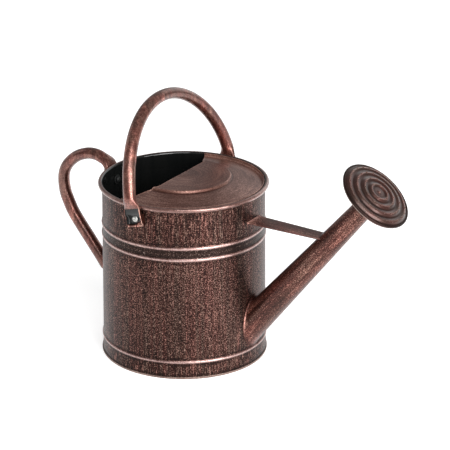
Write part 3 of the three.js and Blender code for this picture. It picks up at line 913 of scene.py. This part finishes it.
def spout_tube():
    """Tapered tube whose foot is cut to the wall and flares a little."""
    angles = turns(SPOUT_AROUND)
    starts = [wall_hit(spout_radius(0) + 1.0, angle, 0.4) for angle in angles]
    shares = [0, 0.004, 0.01, 0.02, 0.035, 0.06]
    shares += [mix(0.09, 0.97, i / 30) for i in range(31)]
    shares += [0.985, 0.997, 1]
    loops = []
    wear_and_painted_light = []
    for share in shares:
        loop = []
        for angle, start in zip(angles, starts):
            t = mix(start, SPOUT_LENGTH, share)
            lift = t - start
            r = spout_radius(t) + 0.9 * exp(-lift / 2.4)
            loop.append(ring_point(r, angle, t))
            # a little brighter near the foot; a narrow line along the top is painted dark, painted shade
            wear_and_painted_light.append(0.2 * exp(-lift / 25) - 0.35 * smooth(-0.93, -1.0, cos(angle)))
        loops.append(loop)
    for depth in (SHEET * 0.3, SHEET * 0.7):
        r = spout_radius(SPOUT_LENGTH) - depth
        loops.append([ring_point(r, angle, SPOUT_LENGTH + 0.12) for angle in angles])
        wear_and_painted_light += [0.8] * SPOUT_AROUND
    for share in reversed(shares):
        places = [mix(start, SPOUT_LENGTH, share) for start in starts]
        loops.append([ring_point(spout_radius(t) - SHEET, angle, t) for angle, t in zip(angles, places)])
        wear_and_painted_light += [0.0] * SPOUT_AROUND
    loops.append(loops[0])
    wear_and_painted_light += [0.0] * SPOUT_AROUND
    verts, faces = loft(loops, ends=False)
    outside = (len(shares) + 1) * SPOUT_AROUND
    face_slots = [0 if i < outside else 1 for i in range(len(faces))]
    new_object("spout_cone", (verts, faces), [spout_metal, lining], "tank",
               ["spout_tube"], wear_and_painted_light, face_slots)


def spout_flange():
    """Soldered collar: a hollow curve from the spout's side out onto the wall."""
    rise, reach, thickness = 1.5, 1.5, 0.45
    floor = BEADS[0][0] + BEADS[0][1] + 0.4
    steps = 10
    profile = []
    for i in range(steps + 1):
        turn = pi / 2 * i / steps
        profile.append((1 - cos(turn), 1 - sin(turn)))
    loops = []
    wear_and_painted_light = []
    columns = []
    for angle in turns(SPOUT_AROUND):
        foot = spout_radius(0) + 1.2
        t = wall_hit(foot, angle, 0)
        base_z = on_spout(foot * cos(angle), 0, t).z * 1000
        down = cos(angle) / cos(SPOUT_ANGLE)
        out = reach if down <= 0.05 else min(reach, (base_z - floor) / down)
        columns.append((angle, foot, max(0.7, out)))
    for layer in (0, 1):
        order = profile if layer == 0 else list(reversed(profile))
        for across, up in order:
            loop = []
            for angle, foot, out in columns:
                r = foot + across * out - layer * thickness * (1 - across) * 0.9
                t = wall_hit(r, angle, 0.42) + up * rise + (1 - layer) * thickness * across * 0.9
                r = r if up < 0.02 else r - (t - wall_hit(foot, angle, 0.42)) * SPOUT_SLOPE
                loop.append(ring_point(r, angle, t))
                # the collar is painted bright on its sides at mid height, a painted highlight on the
                # fillet, and darker at its top and bottom
                beside = hump(cos(angle), -0.2, 0.45)
                wear_and_painted_light.append(mix(-0.4, 0.75, beside) if layer == 0 else 0.0)
            loops.append(loop)
    loops.append(loops[0])
    wear_and_painted_light += wear_and_painted_light[:SPOUT_AROUND]
    new_object("spout_collar", loft(loops, ends=False), [collar_metal], "tank",
               ["spout_flange"], wear_and_painted_light)


BRACE_WALL_Z = 159.2
BRACE_SPOUT_Z = 157.7
BRACE_LENGTH = 78


def spout_brace():
    """Flat strip with a barely crowned top; its foot is soldered to the wall, its tip meets the spout."""
    columns, stations = 26, 44
    drop = (BRACE_WALL_Z - BRACE_SPOUT_Z) / 77

    def surface(u, v, side):
        """u across from -1 to 1, v along from the wall to the spout, side +1 on top."""
        share = v ** 1.35
        near = share * BRACE_LENGTH
        y = u * (mix(12.0, 9.0, share) + 0.6 * exp(-near / 1.5))
        crown = 0.35 - 0.35 * u * u
        solder = exp(-near / 1.4)
        z = BRACE_WALL_Z - near * drop + crown + side * 0.5
        z += solder * (0.9 if side > 0 else -0.5)
        wall_x = sqrt((wall_radius(z) + 0.42) ** 2 - y * y)
        axis_x = SPOUT_START[0] + (z - SPOUT_START[1]) / tan(SPOUT_ANGLE)
        along = hypot(axis_x - SPOUT_START[0], z - SPOUT_START[1])
        r = spout_radius(along) + 0.25
        tip_x = axis_x - sqrt(max(4.0, r * r - y * y)) / sin(SPOUT_ANGLE)
        return place(mix(wall_x, tip_x, share), y, z)

    loops = []
    wear_and_painted_light = []
    for i in range(stations + 1):
        v = i / stations
        loop = []
        for side in (1, -1):
            for k in range(columns + 1):
                u = sin(pi / 2 * mix(-side, side, k / columns))
                loop.append(surface(u, v, side))
                near = v ** 1.35 * BRACE_LENGTH
                # bright copper at the soldered foot, lighter towards the -y edge and towards the spout; the
                # underside is painted dark, painted shade under the strip
                worn = (0.7 - 0.5 * u) * exp(-near / 8.0) + 0.25 * (1 - u) * smooth(0.0, 60.0, near)
                wear_and_painted_light.append(worn if side > 0 else -0.5)
        loops.append(loop)
    verts, faces = loft(loops)
    around = len(loops[0])
    foot = 9 * around       # faces of the copper-bright foot
    face_slots = [1 if i < foot else 0 for i in range(len(faces))]
    new_object("spout_brace_strip", (verts, faces), [brace_metal, collar_metal], "tank",
               ["spout_brace"], wear_and_painted_light, face_slots, sharp=40)


# ------------------------ rose
FACE_Z = ROSE_DISTANCE - 0.6
VALLEYS = [6.3, 13.3, 21.3, 29.2, 36.6]


def face_height(r):
    """Outer surface of the rose's face, along the spout's axis."""
    height = FACE_Z + DOME * (1 - (r / 38) ** 2)
    for crest, before, after in zip(RIDGES, VALLEYS, VALLEYS[1:]):
        if before < r < after:
            end = before if r < crest else after
            height += 1.35 * (0.5 + 0.5 * cos(pi * (r - crest) / (end - crest)))
    nub = max(0.0, 1 - (r / 2.6) ** 2)
    return height + 1.1 * nub * nub


def hole_places():
    """Where the holes are punched: on each ridge, six more than on the one inside it."""
    for row, crest in enumerate(RIDGES):
        count = 6 * (row + 1)
        for i in range(count):
            angle = 2 * pi * (i + 0.5 * (row % 2)) / count
            yield crest * cos(angle), crest * sin(angle), crest


def rose_face():
    """Domed, ridged disc with punched holes and a crimped rim."""
    radii = [0.4 * k for k in range(1, 91)] + [36.4, 36.8, 37.2]
    top = [(r, face_height(r)) for r in radii]
    low = [(r, face_height(r) - SHEET) for r in radii]
    crimp = [(1.4, 0.6), (1.0, 0.75), (0.55, 0.65), (0.2, 0.35), (0, -0.1), (0, -0.9), (0.1, -1.35),
             (0.35, -1.6), (0.6, -1.6), (0.68, -1.3), (0.75, -0.6)]
    edge = [(ROSE_RADIUS - inwards, FACE_Z + out) for inwards, out in crimp]
    profile = [(0, face_height(0) - SHEET)] + low + list(reversed(edge))
    profile += list(reversed(top)) + [(0, face_height(0))]

    def worn(r):
        """Painted highlights on the ridges and the nub, painted shade in the valleys, and darker at the
        crimp.
        """
        if r > ROSE_RADIUS - 1.6:
            return -0.5
        crest = max(hump(r, ridge, 0.7) for ridge in RIDGES)
        valley = max(hump(r, bottom, 1.3) for bottom in VALLEYS)
        return 0.55 * crest - 0.28 * valley + 0.7 * hump(r, 0.0, 1.6)

    wear_and_painted_light = [worn(r) for r, _z in profile[1:-1]] * ROSE_AROUND + [0.0, 0.5]
    piece = new_object("rose_face_disc", disc(profile, ROSE_AROUND, on_spout), [rose_metal],
                       "rose", ["rose_face"], wear_and_painted_light)
    bore_verts, bore_faces = [], []
    for x, y, _crest in hole_places():
        loops = [[on_spout(x + HOLE * cos(a), y + HOLE * sin(a), FACE_Z + h) for a in turns(10)]
                 for h in (-3, 10)]
        verts, faces = loft(loops)
        bore_faces += [tuple(i + len(bore_verts) for i in face) for face in faces]
        bore_verts += verts
    boolean(piece, [cutter("bores", (bore_verts, bore_faces))])


def rose_burrs():
    """The raised lip that the punch left round each hole."""
    verts, faces = [], []
    ring_around, ring_tube = 14, 6
    for x, y, crest in hole_places():
        z = face_height(crest)
        base = len(verts)
        for i in range(ring_around):
            a = 2 * pi * i / ring_around
            for k in range(ring_tube):
                b = 2 * pi * k / ring_tube
                r = HOLE + 0.3 + 0.26 * cos(b)
                verts.append(on_spout(x + r * cos(a), y + r * sin(a), z + 0.3 * sin(b)))
                n = (i + 1) % ring_around * ring_tube
                m = (k + 1) % ring_tube
                here = base + i * ring_tube
                faces.append((here + k, base + n + k, base + n + m, here + m))
    # the lips are painted bright all over, painted highlights standing in for glints on the burrs
    new_object("rose_hole_lips", (verts, faces), [rose_metal], "rose", None,
               [0.5] * len(verts))


def rose_shell():
    """Shallow cone behind the face, rolled into its crimp."""
    mouth = ROSE_RADIUS - SHEET - GAP
    outer = [(11.8, ROSE_NECK), (12.6, ROSE_NECK + 0.05), (13.8, ROSE_NECK + 0.45),
             (15.2, ROSE_NECK + 1.2)]
    for i in range(1, 11):
        t = i / 10
        along = mix(ROSE_NECK + 1.2, FACE_Z - 3.4, t) - 0.9 * sin(pi * t)
        outer.append((mix(15.2, 36.6, t), along))
    outer += [(mouth - 0.35, FACE_Z - 3.1)]
    outer += [(mouth, FACE_Z - back) for back in (2.5, 1.6, 0.5)]
    inner = [(r - SHEET * 0.35, t + SHEET * 0.9) for r, t in outer[1:-3]]
    inner += [(mouth - SHEET, FACE_Z - 2.0), (mouth - SHEET, FACE_Z - 0.5)]
    profile = outer + list(reversed(inner))
    wear_and_painted_light = [0.6 if len(outer) - 5 < k < len(outer) else 0.0 for k in range(len(profile))] * ROSE_AROUND
    new_object("rose_back_shell", revolve(profile, turns(ROSE_AROUND), on_spout), [rose_metal],
               "rose", ["rose_shell"], wear_and_painted_light)


def rose_sleeve():
    """Neck that pushes on to the spout's tip."""
    around = 96
    outer = [(11.1, 195.9), (11.35, 196.0), (11.5, 196.3), (11.5, 200.4), (11.5, ROSE_NECK + 1.4),
             (11.9, ROSE_NECK + 2.0), (12.8, ROSE_NECK + 2.7), (14.2, ROSE_NECK + 3.4)]
    inner = [(10.75, 196.1), (10.7, 196.4), (10.7, 200.4), (10.7, ROSE_NECK + 1.8),
             (11.4, ROSE_NECK + 2.6), (12.5, ROSE_NECK + 3.4), (13.8, ROSE_NECK + 4.0)]
    profile = outer + list(reversed(inner))
    wear_and_painted_light = [0.3 if k < 3 else 0.0 for k in range(len(profile))] * around
    new_object("rose_neck_sleeve", revolve(profile, turns(around), on_spout), [sleeve_metal],
               "rose", ["rose_sleeve"], wear_and_painted_light)


# ------------------------ rivets and washers
# outlines as radius and height: the tail below its seat, the head above its seat, the washer downwards
RIVET_TAIL = [(0, -2.4), (1.2, -2.35), (2.2, -2.1), (3.0, -1.5), (3.3, -0.9), (3.25, -0.4),
              (3.0, -0.05), (2.0, 0)]
RIVET_HEAD = [(2.0, 0), (3.5, 0), (3.5, 0.35), (3.38, 0.75), (3.05, 1.15), (2.5, 1.5), (1.9, 1.75),
              (1.4, 1.82), (1.1, 1.72), (0.95, 1.3), (0, 0.95)]
WASHER = [(4.8, 0), (5.0, 0.2), (5.0, 0.7), (4.8, 0.9), (2.4, 0.9), (2.3, 0.8), (2.3, 0.1), (2.4, 0)]


def fasteners():
    """Each CAD rivet and washer gets a rounded piece of the same size in its place."""
    around = 40
    ear_floor = 2.9         # from an ear's inner face to the seat of the rivet's head
    places = []
    for side, word in ((-1, "left"), (1, "right")):
        places.append((f"bail_rivet_{word}", f"bail_washer_{word}", EAR_INSIDE + ear_floor, PIVOT_Z,
                       lambda a, b, h, s=side: place(PIVOT_X + a, s * h, PIVOT_Z + b * s)))
    lower_ear = wall_radius(LOWER_RIVET_Z) + 0.5
    for z, ear, word in ((UPPER_RIVET_Z, EAR_INSIDE, "upper"), (LOWER_RIVET_Z, lower_ear, "lower")):
        places.append((f"rear_handle_rivet_{word}", f"rear_handle_washer_{word}", ear + ear_floor, z,
                       lambda a, b, h, z=z: place(-h, a, z + b)))
    for rivet, washer, face, height, where in places:
        inner = wall_radius(height) - 1.3
        tail = inner - 0.9 - 0.3
        profile = [(r, tail + h) for r, h in RIVET_TAIL] + [(r, face + h) for r, h in RIVET_HEAD]
        bands = [1 if point[1] < inner + 0.6 else 0 for point in profile[1:-2]]
        new_object(f"{rivet}_pin", disc(profile, around, where), [rivet_metal, dull_lining],
                   "tank", [rivet], face_slots=disc_slots(around, bands, 1, 0), sharp=30)
        ring = [(r, inner - h) for r, h in WASHER]
        new_object(f"{washer}_ring", revolve(ring, turns(around), where), [dull_lining],
                   "tank", [washer], sharp=30)


# ------------------------ camera, lights and floor
def studio():
    """The camera, four soft lights, a pale sky and a plain floor."""
    azimuth, elevation, distance = radians(31.47), radians(21.401), 2.5
    back = Vector((sin(azimuth) * cos(elevation), -cos(azimuth) * cos(elevation),
                   sin(elevation)))
    right = Vector((cos(azimuth), sin(azimuth), 0))
    up = back.cross(right)
    camera = bpy.data.objects.new("camera", bpy.data.cameras.new("camera"))
    camera.data.lens = 191.2
    camera.data.sensor_width = 36
    camera.data.clip_end = 50
    middle = place(0, 0, 95)
    shift_right, shift_up = 0.04269, 0.03844
    eye = middle + back * distance + right * shift_right + up * shift_up
    camera.matrix_world = Matrix((
        (right.x, up.x, back.x, eye.x),
        (right.y, up.y, back.y, eye.y),
        (right.z, up.z, back.z, eye.z),
        (0, 0, 0, 1),
    ))
    bpy.context.scene.collection.objects.link(camera)
    bpy.context.scene.camera = camera

    def softbox(name, spot, size, power):
        """Rectangular area light that looks at the tank from the spot, in metres."""
        light = bpy.data.lights.new(name, "AREA")
        light.shape = "RECTANGLE"
        light.size, light.size_y = size
        light.energy = power
        lamp = bpy.data.objects.new(name, light)
        lamp.location = spot
        lamp.rotation_euler = (middle - Vector(spot)).to_track_quat("-Z", "Y").to_euler()
        bpy.context.scene.collection.objects.link(lamp)

    softbox("side_key", (2.9, -1.1, 0.98), (2.4, 1.9), 115)
    softbox("front_top", (1.6, -1.5, 2.1), (2.0, 1.6), 46)
    softbox("rear_right", (0.1, 2.8, 1.3), (2.4, 1.8), 12)
    softbox("left_fill", (-2.8, -0.3, 1.3), (1.0, 1.8), 5)

    world = bpy.data.worlds.new("studio")
    world.use_nodes = True
    world.node_tree.nodes["Background"].inputs["Color"].default_value = (1, 1, 1, 1)
    world.node_tree.nodes["Background"].inputs["Strength"].default_value = 0.32
    bpy.context.scene.world = world

    size = 12
    floor_mesh = bpy.data.meshes.new("floor")
    corners = [(-size, -size, 0), (size, -size, 0), (size, size, 0), (-size, size, 0)]
    floor_mesh.from_pydata(corners, [], [(0, 1, 2, 3)])
    floor_mesh.materials.append(pale_floor())
    floor = bpy.data.objects.new("floor", floor_mesh)
    bpy.context.scene.collection.objects.link(floor)
    bpy.context.scene.view_settings.view_transform = "Standard"


tank_wall()
tank_bottom()
splash_cover()
cover_hem()
bail_handle()
rear_handle()
spout_tube()
spout_flange()
spout_brace()
rose_face()
rose_burrs()
rose_shell()
rose_sleeve()
fasteners()
studio()
